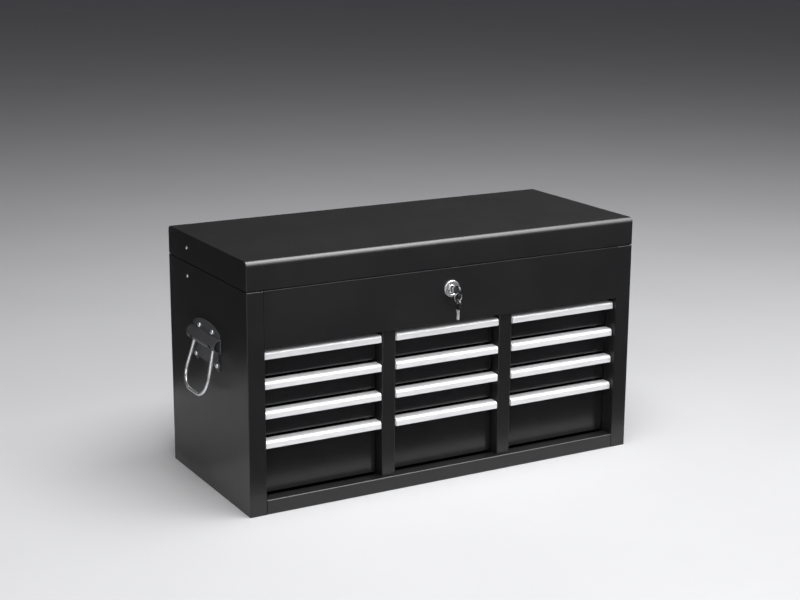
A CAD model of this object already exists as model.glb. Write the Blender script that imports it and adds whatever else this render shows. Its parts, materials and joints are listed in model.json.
"""Machinist tool chest: a black enamelled cabinet with twelve drawers, a lift-up lid, a
cylinder lock and a drop handle on each side. All lengths are in metres."""
import json
import math

import bmesh
import bpy
from mathutils import Matrix, Vector

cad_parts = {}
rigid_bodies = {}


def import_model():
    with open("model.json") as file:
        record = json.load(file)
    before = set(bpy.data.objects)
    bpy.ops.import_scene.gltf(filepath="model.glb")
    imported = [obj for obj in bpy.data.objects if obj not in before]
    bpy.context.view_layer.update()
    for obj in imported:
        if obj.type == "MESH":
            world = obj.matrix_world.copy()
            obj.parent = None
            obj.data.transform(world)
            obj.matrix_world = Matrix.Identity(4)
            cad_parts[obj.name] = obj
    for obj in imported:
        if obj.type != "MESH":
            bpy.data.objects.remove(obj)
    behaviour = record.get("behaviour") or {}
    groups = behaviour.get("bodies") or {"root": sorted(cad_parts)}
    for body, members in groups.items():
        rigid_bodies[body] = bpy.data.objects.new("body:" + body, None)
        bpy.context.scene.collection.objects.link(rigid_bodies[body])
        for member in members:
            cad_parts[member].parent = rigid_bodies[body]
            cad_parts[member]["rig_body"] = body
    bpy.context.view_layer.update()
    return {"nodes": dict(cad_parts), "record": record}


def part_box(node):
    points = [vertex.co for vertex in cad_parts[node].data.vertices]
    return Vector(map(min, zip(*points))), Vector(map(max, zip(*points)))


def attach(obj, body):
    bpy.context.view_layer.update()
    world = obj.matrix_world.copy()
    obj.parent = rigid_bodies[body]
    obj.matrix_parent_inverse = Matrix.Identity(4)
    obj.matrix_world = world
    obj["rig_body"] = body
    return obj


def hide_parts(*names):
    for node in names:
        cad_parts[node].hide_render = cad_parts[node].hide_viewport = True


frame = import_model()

# ---- Camera ------------------------------------------------------------------------------

CAMERA_PLACE = (-1.09916, -1.93321, 0.79385)
CAMERA_RIGHT = (0.87103, -0.49120, 0.00491)
CAMERA_DOWN = (-0.11736, -0.21779, -0.96891)
CAMERA_FORWARD = (0.47700, 0.84338, -0.24735)
LENS, SENSOR, FARTHEST = 72.953, 36, 60


def make_camera():
    """The camera, with its place and its axes set one by one."""
    data = bpy.data.cameras.new("camera")
    data.lens = LENS
    data.sensor_width = SENSOR
    data.clip_end = FARTHEST
    camera = bpy.data.objects.new("camera", data)
    x, y, z = Vector(CAMERA_RIGHT), -Vector(CAMERA_DOWN), -Vector(CAMERA_FORWARD)
    turn = Matrix((x, y, z)).transposed().to_4x4()
    camera.matrix_world = Matrix.Translation(CAMERA_PLACE) @ turn
    bpy.context.scene.collection.objects.link(camera)
    bpy.context.scene.camera = camera


# ---- Materials ---------------------------------------------------------------------------

# The middle of a noise, where nearly all its values lie
NOISE_LOW, NOISE_HIGH = 0.3, 0.7
# Features to the metre in the enamel: cloud, haze, wave and orange peel
CLOUD, HAZE, WAVE, PEEL = 9.0, 30.0, 35.0, 450.0
# Depth and strength of the wave and of the peel
WAVE_BUMP, PEEL_BUMP = (0.0004, 0.05), (0.00012, 0.03)
ENAMEL_IOR = 1.5
# Features to the metre in bright metal: haze when brushed, cloud and smudges when plated
BRUSHED_HAZE, PLATED_CLOUD, PLATED_SMUDGE = 60.0, 120.0, 260.0
BRUSHED_STRENGTH, PLATED_STRENGTH = 0.35, 0.12
# Features to the metre in the plastic, and the depth and strength of its grain
MOULDED_CLOUD, MOULDED_GRAIN, MOULDED_BUMP = 200.0, 1800.0, (0.00006, 0.4)


def new_material(name):
    """A material with its node tree, its shader, and object coordinates in metres."""
    mat = bpy.data.materials.new(name)
    mat.use_nodes = True
    tree = mat.node_tree
    shader = tree.nodes["Principled BSDF"]
    place = tree.nodes.new("ShaderNodeTexCoord").outputs["Object"]
    return mat, tree, shader, place


def noise(tree, place, scale, detail, stretch=None):
    """Noise with `scale` features to the metre, drawn out along an axis by `stretch`."""
    if stretch:
        mapping = tree.nodes.new("ShaderNodeMapping")
        mapping.inputs["Scale"].default_value = stretch
        tree.links.new(place, mapping.inputs["Vector"])
        place = mapping.outputs["Vector"]
    tex = tree.nodes.new("ShaderNodeTexNoise")
    tex.inputs["Scale"].default_value = scale
    tex.inputs["Detail"].default_value = detail
    tree.links.new(place, tex.inputs["Vector"])
    return tex.outputs["Fac"]


def colour(tree, shader, value, low, high):
    """Colours the shader from `low` to `high` over the middle of a noise."""
    node = tree.nodes.new("ShaderNodeValToRGB")
    ends = node.color_ramp.elements
    ends[0].position, ends[1].position = NOISE_LOW, NOISE_HIGH
    ends[0].color = (*low, 1)
    ends[1].color = (*high, 1)
    tree.links.new(value, node.inputs["Fac"])
    tree.links.new(node.outputs["Color"], shader.inputs["Base Color"])


def roughness(tree, shader, value, low, high):
    """Spreads the shader's roughness from `low` to `high` over the middle of a noise."""
    node = tree.nodes.new("ShaderNodeMapRange")
    node.inputs["From Min"].default_value = NOISE_LOW
    node.inputs["From Max"].default_value = NOISE_HIGH
    node.inputs["To Min"].default_value = low
    node.inputs["To Max"].default_value = high
    tree.links.new(value, node.inputs["Value"])
    tree.links.new(node.outputs["Result"], shader.inputs["Roughness"])


def bump(tree, shader, height, depth, strength, under=None):
    """A bump of the given depth, on top of another bump if there is one."""
    node = tree.nodes.new("ShaderNodeBump")
    node.inputs["Strength"].default_value = strength
    node.inputs["Distance"].default_value = depth
    tree.links.new(height, node.inputs["Height"])
    if under:
        tree.links.new(under, node.inputs["Normal"])
    tree.links.new(node.outputs["Normal"], shader.inputs["Normal"])
    return node.outputs["Normal"]


def enamel(name, dark, light, rough):
    """Satin enamel: cloudy colour, a shallow wave, fine orange peel and slightly uneven gloss."""
    mat, tree, shader, place = new_material(name)
    colour(tree, shader, noise(tree, place, CLOUD, 5.0), dark, light)
    roughness(tree, shader, noise(tree, place, HAZE, 4.0), *rough)
    wave = bump(tree, shader, noise(tree, place, WAVE, 1.0), *WAVE_BUMP)
    bump(tree, shader, noise(tree, place, PEEL, 2.0), *PEEL_BUMP, wave)
    shader.inputs["IOR"].default_value = ENAMEL_IOR
    return mat


def brushed(name, dark, light, rough, stretch, depth, metallic=1.0):
    """Bright metal with fine lines drawn along one axis."""
    mat, tree, shader, place = new_material(name)
    lines = noise(tree, place, 1.0, 4.0, stretch)
    colour(tree, shader, lines, dark, light)
    roughness(tree, shader, noise(tree, place, BRUSHED_HAZE, 4.0), *rough)
    bump(tree, shader, lines, depth, BRUSHED_STRENGTH)
    shader.inputs["Metallic"].default_value = metallic
    return mat


def plated(name, dark, light, rough, grain, depth, metallic=1.0):
    """Plated metal: cloudy tint, smudged gloss and a fine grain."""
    mat, tree, shader, place = new_material(name)
    colour(tree, shader, noise(tree, place, PLATED_CLOUD, 4.0), dark, light)
    roughness(tree, shader, noise(tree, place, PLATED_SMUDGE, 5.0), *rough)
    bump(tree, shader, noise(tree, place, grain, 3.0), depth, PLATED_STRENGTH)
    shader.inputs["Metallic"].default_value = metallic
    return mat


def moulded(name, dark, light, rough):
    """Moulded plastic with a faint leathery grain."""
    mat, tree, shader, place = new_material(name)
    cloud = noise(tree, place, MOULDED_CLOUD, 3.0)
    colour(tree, shader, cloud, dark, light)
    roughness(tree, shader, cloud, *rough)
    bump(tree, shader, noise(tree, place, MOULDED_GRAIN, 2.0), *MOULDED_BUMP)
    return mat


def make_materials():
    """A material for each slot of the record, and one for the steel of the key blades."""
    return {
        "black_paint": enamel(
            "black_enamel", (0.012, 0.012, 0.013), (0.017, 0.017, 0.018), rough=(0.28, 0.32)
        ),
        "drawer_paint": enamel(
            "drawer_enamel", (0.009, 0.009, 0.010), (0.013, 0.013, 0.014), rough=(0.19, 0.23)
        ),
        "pull_aluminium": brushed(
            "pull_aluminium", (0.95, 0.95, 0.96), (0.99, 0.99, 1.0), rough=(0.42, 0.52),
            stretch=(6, 1500, 1500), depth=0.00003, metallic=0.25
        ),
        "chrome": plated(
            "chrome", (0.82, 0.83, 0.85), (0.92, 0.93, 0.95), rough=(0.16, 0.24),
            grain=300.0, depth=0.00001, metallic=0.8
        ),
        "zinc_steel": plated(
            "zinc_steel", (0.5, 0.51, 0.53), (0.64, 0.65, 0.66), rough=(0.3, 0.45),
            grain=1400.0, depth=0.00006
        ),
        "hinge_steel": brushed(
            "hinge_steel", (0.5, 0.5, 0.51), (0.64, 0.64, 0.64), rough=(0.25, 0.36),
            stretch=(10, 1500, 1500), depth=0.00003
        ),
        "key_black": moulded(
            "key_black", (0.012, 0.012, 0.013), (0.022, 0.022, 0.024), rough=(0.26, 0.4)
        ),
        "handle_paint": enamel(
            "handle_enamel", (0.064, 0.065, 0.068), (0.086, 0.087, 0.091), rough=(0.36, 0.46)
        ),
        "key_steel": plated(
            "key_steel", (0.74, 0.73, 0.71), (0.86, 0.85, 0.83), rough=(0.35, 0.5),
            grain=1500.0, depth=0.00003, metallic=0.5
        ),
    }


# ---- Rounded copies of the CAD nodes -----------------------------------------------------

# Faces that meet at less than this are one smooth region, and above the other an edge is sharp
SMOOTH_BELOW, SHARP_ABOVE = math.radians(28), math.radians(40)
# How much of the room beside an edge its rounding may take, and the faces across it
ROOM_SHARE, ROUND_STEPS = 0.8, 3
# How far folds and rims are rounded, and those that are sharper than the rest
FOLD_R = 0.0016
EDGE_WIDTH = {
    "fascia_panel": 0.0003, "lid_shell": 0.001,
    "left_side_panel": 0.0009, "right_side_panel": 0.0009,
    "left_handle_plate": 0.0012, "right_handle_plate": 0.0012,
}
# Front plane, inner edge of the posts, underside of the fascia
FRONT_Y, POST_X, FASCIA_Z = -0.130, 0.276, 0.225
# Seam between fascia and posts: in the solids and as it is left to see; how much of its rounding
# the post's edge keeps there
SEAM_GAP, SEAM_LEFT, SEAM_ROUNDING = 0.0005, 0.0001, 0.15
# Two places that are nearer than this are the same
NEAR = 1e-5


def finish_mesh(bm, name, material, body, nodes=(), bevel=None):
    """Turns a bmesh into a smooth-shaded piece that rides on a body."""
    bm.normal_update()
    mesh = bpy.data.meshes.new(name)
    bm.to_mesh(mesh)
    bm.free()
    mesh.materials.append(MATERIALS[material])
    piece = bpy.data.objects.new(name, mesh)
    bpy.context.scene.collection.objects.link(piece)
    if bevel:
        round_edges(piece, bevel)
    piece.data.shade_smooth()
    piece.data.set_sharp_from_angle(angle=SHARP_ABOVE)
    even = piece.modifiers.new("even", "WEIGHTED_NORMAL")
    even.keep_sharp = True
    keep_modifiers(piece)
    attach(piece, body)
    if nodes:
        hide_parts(*nodes)
    return piece


def keep_modifiers(piece):
    """Makes what the modifiers give the piece's own mesh."""
    bpy.context.view_layer.update()
    graph = bpy.context.evaluated_depsgraph_get()
    mesh = bpy.data.meshes.new_from_object(piece.evaluated_get(graph))
    piece.modifiers.clear()
    old = piece.data
    piece.data = mesh
    bpy.data.meshes.remove(old)
    mesh.name = piece.name


def round_edges(piece, width):
    """Rounds the edges by their stored weights."""
    modifier = piece.modifiers.new("round", "BEVEL")
    modifier.width = width
    modifier.segments = ROUND_STEPS
    modifier.limit_method = "WEIGHT"
    modifier.use_clamp_overlap = False
    modifier.loop_slide = False
    keep_modifiers(piece)


def regions(bm):
    """Splits the faces into smooth regions and gives each face its region's mean half width."""
    seen, width = set(), {}
    for first in bm.faces:
        if first in seen:
            continue
        seen.add(first)
        found, edge_length = [first], 0.0
        for face in found:
            for edge in face.edges:
                others = [f for f in edge.link_faces if f is not face]
                if others and edge.calc_face_angle(math.pi) < SMOOTH_BELOW:
                    if others[0] not in seen:
                        seen.add(others[0])
                        found.append(others[0])
                else:
                    edge_length += edge.calc_length()
        area = sum(f.calc_area() for f in found)
        for face in found:
            width[face] = area / max(edge_length, 1e-9)
    return width


def set_weights(bm, width):
    """Stores how far each edge is rounded: at most `width`, and less beside narrow faces."""
    half_width = regions(bm)
    weight = bm.edges.layers.float.new("bevel_weight_edge")
    for edge in bm.edges:
        if len(edge.link_faces) == 2 and edge.calc_face_angle(0.0) > SMOOTH_BELOW:
            room = ROOM_SHARE * min(half_width[f] for f in edge.link_faces)
            edge[weight] = min(1.0, room / width)


def cad_mesh(node):
    """A copy of a CAD node's mesh, with its flat faces whole."""
    bm = bmesh.new()
    bm.from_mesh(frame["nodes"][node].data)
    bmesh.ops.remove_doubles(bm, verts=bm.verts, dist=1e-6)
    flat = math.radians(0.5)
    bmesh.ops.dissolve_limit(bm, angle_limit=flat, verts=bm.verts, edges=bm.edges)
    bm.normal_update()
    return bm


def widen_fascia(bm):
    """Closes the seam between the fascia and the posts to a hairline."""
    for v in bm.verts:
        if abs(abs(v.co.x) - (POST_X - SEAM_GAP)) < NEAR:
            v.co.x += math.copysign(SEAM_GAP - SEAM_LEFT, v.co.x)


def on_seam(spot):
    """Whether a place is on the front inner edge of a post, beside the fascia."""
    on_post = abs(abs(spot.x) - POST_X) < NEAR and spot.y < FRONT_Y + NEAR
    return on_post and spot.z > FASCIA_Z


def keep_post_edge_sharp(bm):
    """Keeps the post's edge crisp beside the fascia, so that the two look like one face."""
    weight = bm.edges.layers.float["bevel_weight_edge"]
    for edge in bm.edges:
        if all(on_seam(v.co) for v in edge.verts):
            edge[weight] = min(edge[weight], SEAM_ROUNDING)


def rounded(node):
    """A copy of a CAD node whose folds and rims are rounded, in place of the node."""
    width = EDGE_WIDTH.get(node, FOLD_R)
    bm = cad_mesh(node)
    if node == "fascia_panel":
        widen_fascia(bm)
    set_weights(bm, width)
    if node.endswith("_side_panel"):
        keep_post_edge_sharp(bm)
    body = frame["nodes"][node]["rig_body"]
    finish_mesh(bm, node + "_dressed", SLOTS[node], body, [node], width)


# ---- Mesh helpers ------------------------------------------------------------------------

# Steps of a rounded corner, and the limit that keeps the mitre of a sharp corner short
CORNER_STEPS, LEAST_MITRE = 5, 0.3


def face_out(bm):
    """Turns the faces of closed shells outwards."""
    bmesh.ops.recalc_face_normals(bm, faces=bm.faces)


def to_axis(axis):
    """The turn that takes +Z to an axis."""
    return Vector((0, 0, 1)).rotation_difference(Vector(axis)).to_matrix()


def add_lathe(bm, profile, origin, axis, sides):
    """Turns a profile of (radius, height) points about an axis, with caps where it ends."""
    turn = to_axis(axis)
    rings = []
    for radius, height in profile:
        if radius < 1e-7:
            rings.append([bm.verts.new(Vector(origin) + turn @ Vector((0, 0, height)))])
            continue
        ring = []
        for i in range(sides):
            a = 2 * math.pi * i / sides
            spot = Vector((radius * math.cos(a), radius * math.sin(a), height))
            ring.append(bm.verts.new(Vector(origin) + turn @ spot))
        rings.append(ring)
    for low, high in zip(rings, rings[1:]):
        for i in range(sides):
            j = (i + 1) % sides
            corners = [low[i % len(low)], low[j % len(low)],
                       high[j % len(high)], high[i % len(high)]]
            bm.faces.new(list(dict.fromkeys(corners)))
    if len(rings[0]) > 1:
        bm.faces.new(rings[0][::-1])
    if len(rings[-1]) > 1:
        bm.faces.new(rings[-1])


def add_ring(bm, profile, origin, axis, sides):
    """Turns a closed profile of (radius, height) points about an axis."""
    turn = to_axis(axis)
    rings = []
    for i in range(sides):
        a = 2 * math.pi * i / sides
        rings.append([bm.verts.new(origin + turn @ Vector((r * math.cos(a), r * math.sin(a), h)))
                      for r, h in profile])
    join_rings(bm, rings, closed=True)
    face_out(bm)


def arc(centre, radius, start, end, steps):
    """Points on an arc, with angles in degrees."""
    angles = [math.radians(start + (end - start) * i / steps) for i in range(steps + 1)]
    return [(centre[0] + radius * math.cos(a), centre[1] + radius * math.sin(a)) for a in angles]


def with_round_corners(outline, radii):
    """Rounds corners of a closed outline: `radii` names a radius by the corner's number."""
    made = []
    for i, corner in enumerate(outline):
        if i not in radii:
            made.append(corner)
            continue
        here = Vector(corner)
        before = (Vector(outline[i - 1]) - here).normalized()
        after = (Vector(outline[(i + 1) % len(outline)]) - here).normalized()
        half = before.angle(after) / 2
        reach = radii[i] / math.tan(half)
        centre = here + (before + after).normalized() * radii[i] / math.sin(half)
        first, last = here + before * reach - centre, here + after * reach - centre
        between = [first.slerp(last, k / CORNER_STEPS) for k in range(1, CORNER_STEPS)]
        for spot in [first] + between + [last]:
            made.append(tuple(centre + spot.normalized() * radii[i]))
    return made


def inset(outline, distance):
    """The outline (anticlockwise) moved inwards by a distance, with its mitres kept short."""
    made = []
    for i, spot in enumerate(outline):
        here = Vector(spot)
        one = (here - Vector(outline[i - 1])).normalized()
        two = (Vector(outline[(i + 1) % len(outline)]) - here).normalized()
        inward = Vector((-one.y - two.y, one.x + two.x))
        stretch = max(inward.length_squared / 2, LEAST_MITRE)
        made.append(tuple(here + inward * distance / stretch))
    return made


def rim_stations(low, high, edge):
    """Places between `low` and `high`, each with how far a rounded rim is drawn in there."""
    stations = []
    for angle in (0, 30, 60, 90):
        a = math.radians(angle)
        stations.append((low + edge * (1 - math.cos(a)), edge * (1 - math.sin(a))))
    return stations + [(high - (w - low), d) for w, d in reversed(stations)]


def join_rings(bm, rings, closed=False):
    """Faces between rings of points, with end faces unless the rings close on themselves."""
    pairs = list(zip(rings, rings[1:]))
    if closed:
        pairs.append((rings[-1], rings[0]))
    for one, two in pairs:
        for i in range(len(one)):
            j = (i + 1) % len(one)
            bm.faces.new([one[i], one[j], two[j], two[i]])
    if not closed:
        bm.faces.new(rings[0][::-1])
        bm.faces.new(rings[-1])


def add_bar(bm, outline, place, low, high, edge):
    """Runs an outline from `low` to `high` with rounded rims: place(u, v, w) gives the point."""
    rings = []
    for w, d in rim_stations(low, high, edge):
        line = inset(outline, d) if d > 1e-9 else outline
        rings.append([bm.verts.new(place(u, v, w)) for u, v in line])
    join_rings(bm, rings)


def add_pierced_bar(bm, outline, hole, place, low, high, edge):
    """The same for an outline with a hole of as many points, both anticlockwise."""
    rings, stations = [], rim_stations(low, high, edge)
    for w, d in stations:
        rings.append([bm.verts.new(place(u, v, w)) for u, v in inset(outline, d)])
    for w, d in reversed(stations):
        rings.append([bm.verts.new(place(u, v, w)) for u, v in inset(hole, -d)])
    join_rings(bm, rings, closed=True)


def add_tube(bm, path, radius, across, closed=True, sides=20):
    """A round wire along a path that lies in the plane square to `across`."""
    across = Vector(across).normalized()
    rings = []
    for i, spot in enumerate(path):
        before = path[i - 1] if closed or i else spot
        after = path[(i + 1) % len(path)] if closed or i + 1 < len(path) else spot
        along = (after - before).normalized()
        side = along.cross(across).normalized()
        ring = []
        for k in range(sides):
            a = 2 * math.pi * k / sides
            ring.append(bm.verts.new(spot + radius * (math.cos(a) * side + math.sin(a) * across)))
        rings.append(ring)
    join_rings(bm, rings, closed)


# ---- Studio ------------------------------------------------------------------------------

FLOOR_TONE, FLOOR_ROUGH, FLAG_ROUGH = (0.83, 0.83, 0.84), 0.5, 0.9
# Features to the metre in its surfaces, the tone of their clouds, and how far roughness varies
STUDIO_CLOUD, STUDIO_HAZE, CLOUD_TONE, ROUGH_SPREAD = 3.0, 20.0, 0.97, 0.03
# Half the floor, the height of cards on the floor, the plane of the cards at the back and where
# the left one ends and the right one starts
FLOOR_HALF, CARD_Z, BACK_Y, BACK_X, BACK_HIGH = 20, 0.003, 0.38, -0.34, 1.4
# Area lights: place, target, size and power
LIGHTS = {
    "top_light": ((0.2, -0.65, 2.3), (0.1, 0, 0), (2.2, 1.4), 54),
    "front_light": ((0.9, -2.6, 1.15), (0, 0, 0.2), (4.0, 1.7), 22),
    "side_light": ((-2.2, -3.0, 2.0), (0, 0, 0.2), (2.5, 2.0), 30),
    "left_fill": ((-2.2, -0.8, 0.9), (-0.3, 0, 0.2), (1.2, 1.2), 3),
    "edge_light": ((0.95, -0.62, 1.7), (0.95, -0.2, 0.3), (1.7, 2.5), 95),
}
# Lights that only reflections see
UNSEEN_BY_DIFFUSE = {"edge_light"}
SURROUND = (0.05, 0.05, 0.055, 1)


def studio_material(name, tone, rough):
    """A dull, slightly cloudy surface that mirrors nothing."""
    mat, tree, shader, place = new_material(name)
    low = tuple(CLOUD_TONE * c for c in tone)
    colour(tree, shader, noise(tree, place, STUDIO_CLOUD, 4.0), low, tone)
    haze = noise(tree, place, STUDIO_HAZE, 3.0)
    roughness(tree, shader, haze, rough - ROUGH_SPREAD, rough + ROUGH_SPREAD)
    shader.inputs["Specular IOR Level"].default_value = 0.0
    return mat


def plane(name, corners, material):
    """A flat piece of the studio."""
    mesh = bpy.data.meshes.new(name)
    mesh.from_pydata(corners, [], [(0, 1, 2, 3)])
    mesh.materials.append(material)
    made = bpy.data.objects.new(name, mesh)
    bpy.context.scene.collection.objects.link(made)
    return made


def level(x0, x1, y0, y1, z):
    """Corners of a level card."""
    return [(x0, y0, z), (x1, y0, z), (x1, y1, z), (x0, y1, z)]


def upright(x0, x1, y, z0, z1):
    """Corners of a card that stands along x."""
    return [(x0, y, z0), (x1, y, z0), (x1, y, z1), (x0, y, z1)]


def flag(name, corners, tone):
    """A dark card that only reflections see, as in a product studio."""
    card = plane(name, corners, studio_material(name, (tone, tone, tone), FLAG_ROUGH))
    card.visible_camera = False
    card.visible_diffuse = False
    card.visible_shadow = False


def area_light(name, place, target, size, power):
    """A soft rectangular light that faces its target."""
    data = bpy.data.lights.new(name, "AREA")
    data.shape = "RECTANGLE"
    data.size, data.size_y = size
    data.energy = power
    light = bpy.data.objects.new(name, data)
    light.location = place
    way = Vector(target) - Vector(place)
    light.rotation_euler = way.to_track_quat("-Z", "Y").to_euler()
    light.visible_diffuse = name not in UNSEEN_BY_DIFFUSE
    bpy.context.scene.collection.objects.link(light)


def make_studio():
    """Pale floor, cards for the dark parts of the reflections, soft lights and a dim surround."""
    corners = level(-FLOOR_HALF, FLOOR_HALF, -FLOOR_HALF, FLOOR_HALF, 0)
    plane("floor", corners, studio_material("pale_floor", FLOOR_TONE, FLOOR_ROUGH))
    flag("floor_flag", level(-0.4, 2.6, -2.4, -0.205, CARD_Z), 0.03)
    flag("left_floor_flag", level(-1.2, -0.31, 0.06, BACK_Y, CARD_Z), 0.55)
    flag("left_back_flag", upright(-3, BACK_X, BACK_Y, 0.02, BACK_HIGH), 0.03)
    flag("upper_back_flag", upright(BACK_X, 4, BACK_Y, 0.37, BACK_HIGH), 0.07)
    for name, settings in LIGHTS.items():
        area_light(name, *settings)
    world = bpy.data.worlds.new("world")
    world.use_nodes = True
    background = world.node_tree.nodes["Background"]
    background.inputs["Color"].default_value = SURROUND
    background.inputs["Strength"].default_value = 1.0
    bpy.context.scene.world = world
    bpy.context.scene.view_settings.view_transform = "Standard"


# ---- Drawer pulls ------------------------------------------------------------------------

# How far the pull stands out, the height and corner of its hood, its wall and its leg
PULL_OUT, PULL_R, PULL_CORNER, PULL_T, PULL_LEG = 0.016, 0.010, 0.0038, 0.0018, 0.014
# Roundings: lip, back of the hood, foot of the leg, inner corner, and the ends
LIP_R, PULL_BACK_R, FOOT_R, PULL_INNER_R, PULL_END_R = 0.0007, 0.0004, 0.0005, 0.0012, 0.0003
HOOD_STEPS = 12


def make_pull(node):
    """Aluminium pull: a leg on the drawer front and a hood with a rounded corner and lip."""
    low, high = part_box(node)
    corner = (PULL_CORNER - PULL_OUT, PULL_R - PULL_CORNER)
    outer = [(-PULL_OUT, 0)] + arc(corner, PULL_CORNER, 180, 90, HOOD_STEPS)
    inner = arc(corner, PULL_CORNER - PULL_T, 90, 180, HOOD_STEPS) + [(PULL_T - PULL_OUT, 0)]
    leg = [(0, PULL_R), (0, PULL_R - PULL_LEG), (-PULL_T, PULL_R - PULL_LEG),
           (-PULL_T, PULL_R - PULL_T)]
    outline = outer + leg + inner
    back = len(outer)
    radii = {0: LIP_R, back: PULL_BACK_R, back + 1: FOOT_R, back + 2: FOOT_R,
             back + 3: PULL_INNER_R, len(outline) - 1: LIP_R}
    outline = with_round_corners(outline, radii)[::-1]
    base = Vector((0, high.y, high.z - PULL_R))
    bm = bmesh.new()
    add_bar(bm, outline, lambda u, v, w: Vector((w, base.y + u, base.z + v)),
            low.x, high.x, PULL_END_R)
    face_out(bm)
    body = frame["nodes"][node]["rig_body"]
    finish_mesh(bm, node + "_extrusion", "pull_aluminium", body, [node])


# ---- Handles -----------------------------------------------------------------------------

# Bail: half width at the top, length, outward lean of its legs in degrees
BAIL_HALF, BAIL_LENGTH, BAIL_FLARE = 0.031, 0.0675, 8.5
# Bend radii above and below, tilt away from the side in degrees, and wire radius
BAIL_CORNER, BAIL_BEND, BAIL_TILT, BAIL_R = 0.005, 0.0245, 14.5, 0.0025
# Axis of the bail, and the steps in which a leg and a bend are drawn
PIVOT_OUT, PIVOT_Z, LEG_STEPS, BEND_STEPS = 0.3043, 0.205, 6, 12
# Half width of the cabinet, its sheet and the handle plate
HALF_W, SHEET, PLATE_T = 0.300, 0.0012, 0.0015
# Handle screws as (y, z), the radii of shank and head, and the height of the head
SCREWS = [(0.0215, 0.2235), (-0.0215, 0.2235), (0.035, 0.1815), (-0.035, 0.1815)]
SCREW_R, HEAD_R, HEAD_H = 0.002, 0.0038, 0.0026
# How far the shank stands out inside, how far it reaches into the head, and the sides of both
SHANK_INSIDE, SHANK_IN_HEAD, SHANK_SIDES, HEAD_SIDES = 0.004, 0.0004, 32, 40
# Dome of the head as (radius, share of its height), and the rim under it as (radius, height)
HEAD_DOME = [(0.0, 1.0), (0.0012, 1.0), (0.0022, 0.93), (0.003, 0.76), (0.00355, 0.5),
             (HEAD_R, 0.2)]
HEAD_RIM = [(HEAD_R, 0.0001), (0.0036, 0.0)]
# Cross recess: its turn, depth, reach above the head, and (half length, half width) at both ends
CROSS_TURN, CROSS_DEEP, CROSS_ABOVE = 0.35, 0.0014, 0.002
CROSS_LOW, CROSS_HIGH = (0.0009, 0.00025), (0.0026, 0.00055)
# Hexagonal nut as (radius, height), from the sheet inwards
NUT_SIDES = 6
NUT = [(0.0022, 0.0), (0.0036, 0.0), (0.004, -0.0003), (0.004, -0.0027), (0.0036, -0.003),
       (0.0022, -0.003)]


def bail_path():
    """The middle of the bail wire, as (sideways, down) points."""
    up, low = 90 - BAIL_FLARE, 90 + BAIL_FLARE
    cut_up = BAIL_CORNER * math.tan(math.radians(up / 2))
    cut_low = BAIL_BEND * math.tan(math.radians(low / 2))
    flare = math.radians(BAIL_FLARE)
    bar = 2 * (BAIL_HALF - cut_up)
    leg = BAIL_LENGTH / math.cos(flare) - cut_up - cut_low
    grip = 2 * (BAIL_HALF + BAIL_LENGTH * math.tan(flare) - cut_low)
    runs = [(bar, BAIL_CORNER, up), (leg, BAIL_BEND, low), (grip, BAIL_BEND, low),
            (leg, BAIL_CORNER, up)]
    spot, way, points = Vector((-bar / 2, 0)), 0.0, []
    for length, radius, degrees in runs:
        along = Vector((math.cos(way), math.sin(way)))
        points += [spot + along * length * k / LEG_STEPS for k in range(LEG_STEPS)]
        spot = spot + along * length
        turn = math.radians(degrees)
        centre = spot + radius * Vector((math.sin(way), -math.cos(way)))
        for k in range(BEND_STEPS):
            a = way - turn * k / BEND_STEPS
            points.append(centre + radius * Vector((-math.sin(a), math.cos(a))))
        way -= turn
        spot = centre + radius * Vector((-math.sin(way), math.cos(way)))
    return points


def make_bail(side, name):
    """Chromed wire bail, hanging from the channel of its handle plate."""
    tilt = math.radians(BAIL_TILT)
    path = [
        Vector((side * (PIVOT_OUT - p.y * math.sin(tilt)), p.x, PIVOT_Z + p.y * math.cos(tilt)))
        for p in bail_path()
    ]
    bm = bmesh.new()
    add_tube(bm, path, BAIL_R, (side * math.cos(tilt), 0, math.sin(tilt)))
    face_out(bm)
    finish_mesh(bm, name + "_wire", "chrome", name, [name])


def plain_object(bm, name):
    """An object of a bmesh that is only needed for a while."""
    face_out(bm)
    mesh = bpy.data.meshes.new(name)
    bm.to_mesh(mesh)
    bm.free()
    made = bpy.data.objects.new(name, mesh)
    bpy.context.scene.collection.objects.link(made)
    return made


def cross_cutter(spot, way):
    """Two tapered blades that cut a cross recess into a screw head."""
    bm = bmesh.new()
    low, top = spot + way * (HEAD_H - CROSS_DEEP), spot + way * (HEAD_H + CROSS_ABOVE)
    for turn in (CROSS_TURN, CROSS_TURN + math.pi / 2):
        along = Vector((0, math.cos(turn), math.sin(turn)))
        across = Vector((0, -math.sin(turn), math.cos(turn)))
        rows = []
        for centre, (long, wide) in ((low, CROSS_LOW), (top, CROSS_HIGH)):
            rows.append([bm.verts.new(centre + along * long * a + across * wide * b)
                         for a, b in ((-1, -1), (1, -1), (1, 1), (-1, 1))])
        join_rings(bm, rows)
    return plain_object(bm, "cutter")


def crossed_head(spot, way):
    """A bmesh of a pan head with a cross recess, its flat at `spot`."""
    profile = [(r, HEAD_H * share) for r, share in HEAD_DOME] + HEAD_RIM
    bm = bmesh.new()
    add_lathe(bm, profile[::-1], spot, way, HEAD_SIDES)
    head = plain_object(bm, "head")
    cutter = cross_cutter(spot, way)
    cut = head.modifiers.new("cut", "BOOLEAN")
    cut.operation, cut.solver, cut.object = "DIFFERENCE", "EXACT", cutter
    cut.use_self = True
    keep_modifiers(head)
    bpy.data.objects.remove(cutter)
    bm = bmesh.new()
    bm.from_mesh(head.data)
    bpy.data.objects.remove(head)
    return bm


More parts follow.
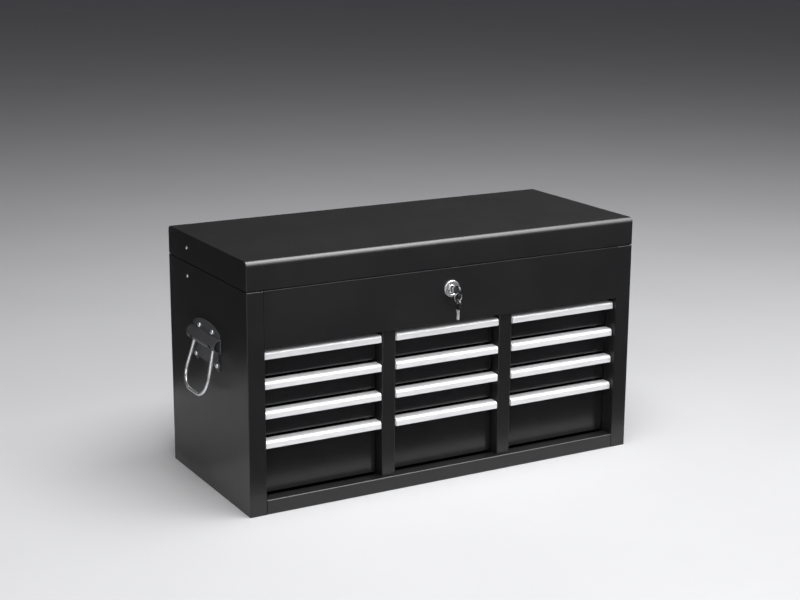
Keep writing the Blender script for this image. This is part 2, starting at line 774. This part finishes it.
def make_handle_screws(side, name):
    """Four pan-head screws with cross recesses, and their nuts inside."""
    way = Vector((side, 0, 0))
    for number, (y, z) in enumerate(SCREWS):
        bm = crossed_head(Vector((side * (HALF_W + PLATE_T), y, z)), way)
        inner = Vector((side * (HALF_W - SHEET), y, z))
        shank = [(SCREW_R, -SHANK_INSIDE), (SCREW_R, SHEET + PLATE_T + SHANK_IN_HEAD)]
        add_lathe(bm, shank, inner, way, SHANK_SIDES)
        add_lathe(bm, NUT[::-1], inner, way, NUT_SIDES)
        face_out(bm)
        finish_mesh(bm, f"{name}_{number}", "chrome", "cabinet")
    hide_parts(name)


# ---- Lock --------------------------------------------------------------------------------

# Height of the lock, the front of its bezel, the radii of bezel, recess and plug
LOCK_Z, BEZEL_Y, BEZEL_R, RECESS_R, PLUG_R = 0.2715, -0.1325, 0.0116, 0.0080, 0.00556
# Roundings of the rim outside and inside, the steps of each, and the sides of the bezel
RIM_R, RIM_INNER_R, RIM_STEPS, RIM_INNER_STEPS, BEZEL_SIDES = 0.0012, 0.0006, 6, 5, 64
# Depth of the recess, and the chamfer round the plug
RECESS_DEEP, PLUG_CHAMFER = 0.001, 0.0003
# Back of the barrel, and the hexagonal nut, as (radius, height)
BARREL = [(PLUG_R, -0.015), (0.0088, -0.015), (0.009, -0.0147), (0.009, 0.0)]
LOCK_NUT = [(0.0091, 0.0), (0.0114, 0.0), (0.012, 0.0005), (0.012, 0.0035), (0.0114, 0.004),
            (0.0091, 0.004)]


def make_lock():
    """Bezel with a rolled rim round a sunk face, and the clamping nut behind the fascia."""
    depth = FRONT_Y - BEZEL_Y
    outer = arc((BEZEL_R - RIM_R, depth - RIM_R), RIM_R, 0, 90, RIM_STEPS)
    inner_centre = (RECESS_R + RIM_INNER_R, depth - RIM_INNER_R)
    inner = arc(inner_centre, RIM_INNER_R, 90, 180, RIM_INNER_STEPS)
    face = [(RECESS_R, depth - RECESS_DEEP), (PLUG_R + PLUG_CHAMFER, depth - RECESS_DEEP),
            (PLUG_R, depth - RECESS_DEEP - PLUG_CHAMFER)]
    profile = BARREL + [(BEZEL_R, 0.0)] + outer + inner + face
    bm = bmesh.new()
    add_ring(bm, profile, Vector((0, FRONT_Y, LOCK_Z)), (0, -1, 0), BEZEL_SIDES)
    finish_mesh(bm, "lock_bezel", "chrome", "cabinet", ["lock_housing"])
    bm = bmesh.new()
    add_ring(bm, LOCK_NUT, Vector((0, FRONT_Y + SHEET, LOCK_Z)), (0, 1, 0), NUT_SIDES)
    finish_mesh(bm, "lock_nut", "zinc_steel", "cabinet")


# ---- Keys --------------------------------------------------------------------------------

# Middle of the inserted bow, radii of both bows, thickness, rounding and sides of a bow
BOW_Y, BOW_R, SPARE_BOW_R, BOW_T, BOW_EDGE, BOW_SIDES = -0.146, 0.007, 0.0062, 0.0032, 0.0005, 72
# Hole for the ring: its radius, and how far it is off the middle of the bow
BOW_HOLE_R, BOW_HOLE_FORWARD, BOW_HOLE_DOWN = 0.0024, 0.0015, 0.002
# Collar of the bow: half width, reach beyond the bow, and how much of the blade it holds
COLLAR_HALF, COLLAR_OUT, COLLAR_GRIP = 0.0039, 0.0016, 0.0008
# Blade: thickness, width and length of its shoulder, where the inserted one ends, and how far the
# spare one reaches beyond its bow
KEY_T, KEY_W, SHOULDER_L, BLADE_END_Y, SPARE_BLADE_L = 0.0018, 0.007, 0.0028, -0.117, 0.0155
# Top of the toothed part, its step at the shoulder, and the plain run at both of its ends
BLADE_TOP, BLADE_STEP, BLADE_RUN = 0.0026, 0.0006, 0.0012
# Tip: where it starts before the end, its height there and at the end, and the rise of its edge
TIP_L, TIP_HIGH, TIP_END, TIP_RISE = 0.0014, 0.0024, 0.0014, 0.0018
# Lower edge of the blade, as (share of half the thickness, height)
BLADE_EDGE = [(0.25, 0.0), (0.7, 0.0002), (1.0, 0.0007)]
# Groove down both faces: depth, lower and upper edge, slope of its sides, and the metal under it
GROOVE, GROOVE_LOW, GROOVE_HIGH = 0.00045, -0.0012, 0.0002
GROOVE_SLOPE, GROOVE_KEEPS = 0.0001, 0.0008
# Depths of the cuts, and where a cut starts and ends in its share of the blade
KEY_CUTS = (0.0012, 0.0003, 0.0016, 0.0008, 0.0002)
SPARE_CUTS = (0.0004, 0.0014, 0.0009, 0.0002)
CUT_SPAN = (0.25, 0.6)
# Split ring: its radius, the radius of its two coils together, its play in a bow, its turns, how
# quickly it steps from one coil to the other, the points along it and its sides
RING_R, RING_WIRE_R, RING_PLAY, RING_TURNS = 0.0055, 0.0006, 0.00025, 1.9
RING_CROSSING, RING_STEPS, RING_SIDES = 4, 120, 12


def circle(radius, centre=(0.0, 0.0)):
    """Points round a circle."""
    angles = [2 * math.pi * (k + 0.5) / BOW_SIDES for k in range(BOW_SIDES)]
    return [(centre[0] + radius * math.cos(a), centre[1] + radius * math.sin(a)) for a in angles]


def bow_outline(radius):
    """A round bow with a square collar towards +u, as (u, v) points."""
    return [(radius + COLLAR_OUT, v) if u > 0 and abs(v) < COLLAR_HALF else (u, v)
            for u, v in circle(radius)]


def blade_section(high, bottom):
    """Section of the blade from `bottom` to `high`, as (across, v) points."""
    half = KEY_T / 2
    low, top = max(GROOVE_LOW, bottom + GROOVE_KEEPS), min(GROOVE_HIGH, high - GROOVE_SLOPE)
    side = [(half * share, bottom + rise) for share, rise in BLADE_EDGE]
    side += [(half, low), (half - GROOVE, low + GROOVE_SLOPE),
             (half - GROOVE, top - GROOVE_SLOPE), (half, top), (half, high)]
    return side + [(-x, v) for x, v in reversed(side)]


def add_blade(bm, place, start, end, cuts):
    """Key blade along u: shoulder, grooves down both faces, and cuts along one edge."""
    low = -KEY_W / 2
    edge, shoulder = low + BLADE_STEP, start + SHOULDER_L
    stations = [(start, -low, low), (shoulder, -low, low), (shoulder + BLADE_STEP, BLADE_TOP, edge)]
    first = shoulder + BLADE_RUN
    span = (end - BLADE_RUN) - first
    for k, cut in enumerate(cuts):
        for share in CUT_SPAN:
            stations.append((first + span * (k + share) / len(cuts), BLADE_TOP - cut, edge))
    stations += [(end - TIP_L, TIP_HIGH, edge), (end, TIP_END, low + TIP_RISE)]
    rings = [[bm.verts.new(place(u, v, x)) for x, v in blade_section(high, bottom)]
             for u, high, bottom in stations]
    join_rings(bm, rings)


def make_one_key(node, body, place, radius, hole, blade_end, cuts):
    """A moulded bow with its collar, and a steel blade: place(u, v, w) gives the point."""
    bm = bmesh.new()
    add_pierced_bar(bm, bow_outline(radius), circle(BOW_HOLE_R, hole), place,
                    -BOW_T / 2, BOW_T / 2, BOW_EDGE)
    face_out(bm)
    finish_mesh(bm, node + "_bow", "key_black", body, [node])
    bm = bmesh.new()
    add_blade(bm, place, radius + COLLAR_OUT - COLLAR_GRIP, blade_end, cuts)
    face_out(bm)
    finish_mesh(bm, node + "_blade", "key_steel", body)


def make_split_ring(y, z):
    """A coil of nearly two turns whose ends lie side by side."""
    path = []
    for k in range(RING_STEPS + 1):
        a = 2 * math.pi * RING_TURNS * k / RING_STEPS
        shift = 0.5 * RING_WIRE_R * math.tanh(RING_CROSSING * (2 * k / RING_STEPS - 1))
        path.append(Vector((RING_R * math.sin(a), y + shift, z + RING_R * math.cos(a))))
    bm = bmesh.new()
    add_tube(bm, path, RING_WIRE_R / 2, (0, 1, 0), closed=False, sides=RING_SIDES)
    face_out(bm)
    finish_mesh(bm, "split_ring", "chrome", "ring", ["key_ring"])


def make_keys():
    """The key in the lock, its split ring, and the spare key that hangs from the ring."""
    hole_y, hole_z = BOW_Y - BOW_HOLE_FORWARD, LOCK_Z - BOW_HOLE_DOWN
    ring_in = math.sqrt((RING_R - RING_WIRE_R) ** 2 - (BOW_T / 2) ** 2)
    ring_z = hole_z - BOW_HOLE_R + RING_PLAY - ring_in
    spare_z = ring_z - ring_in + RING_PLAY - BOW_HOLE_R - BOW_HOLE_DOWN
    make_one_key("key", "lock", lambda u, v, w: Vector((w, BOW_Y + u, LOCK_Z + v)), BOW_R,
                 (-BOW_HOLE_FORWARD, -BOW_HOLE_DOWN), BLADE_END_Y - BOW_Y, KEY_CUTS)
    make_one_key("spare_key", "spare", lambda u, v, w: Vector((w, hole_y + v, spare_z - u)),
                 SPARE_BOW_R, (-BOW_HOLE_DOWN, 0), SPARE_BOW_R + SPARE_BLADE_L, SPARE_CUTS)
    make_split_ring(hole_y, ring_z)


# ---- The whole chest ---------------------------------------------------------------------

SLOTS = {p["node"]: p["material_slot"] for p in frame["record"]["subparts"]}
MATERIALS = make_materials()
make_camera()
make_studio()

# Nodes that have a function of their own
SPECIAL = {"lock_housing", "left_bail", "right_bail", "left_handle_screws", "right_handle_screws",
           "left_handle_plate", "right_handle_plate", "key", "spare_key", "key_ring"}
for node_name in sorted(frame["nodes"]):
    if node_name.startswith("pull_"):
        make_pull(node_name)
    elif node_name not in SPECIAL:
        rounded(node_name)
make_lock()
make_keys()
for side, word in ((-1, "left"), (1, "right")):
    rounded(word + "_handle_plate")
    make_bail(side, word + "_bail")
    make_handle_screws(side, word + "_handle_screws")
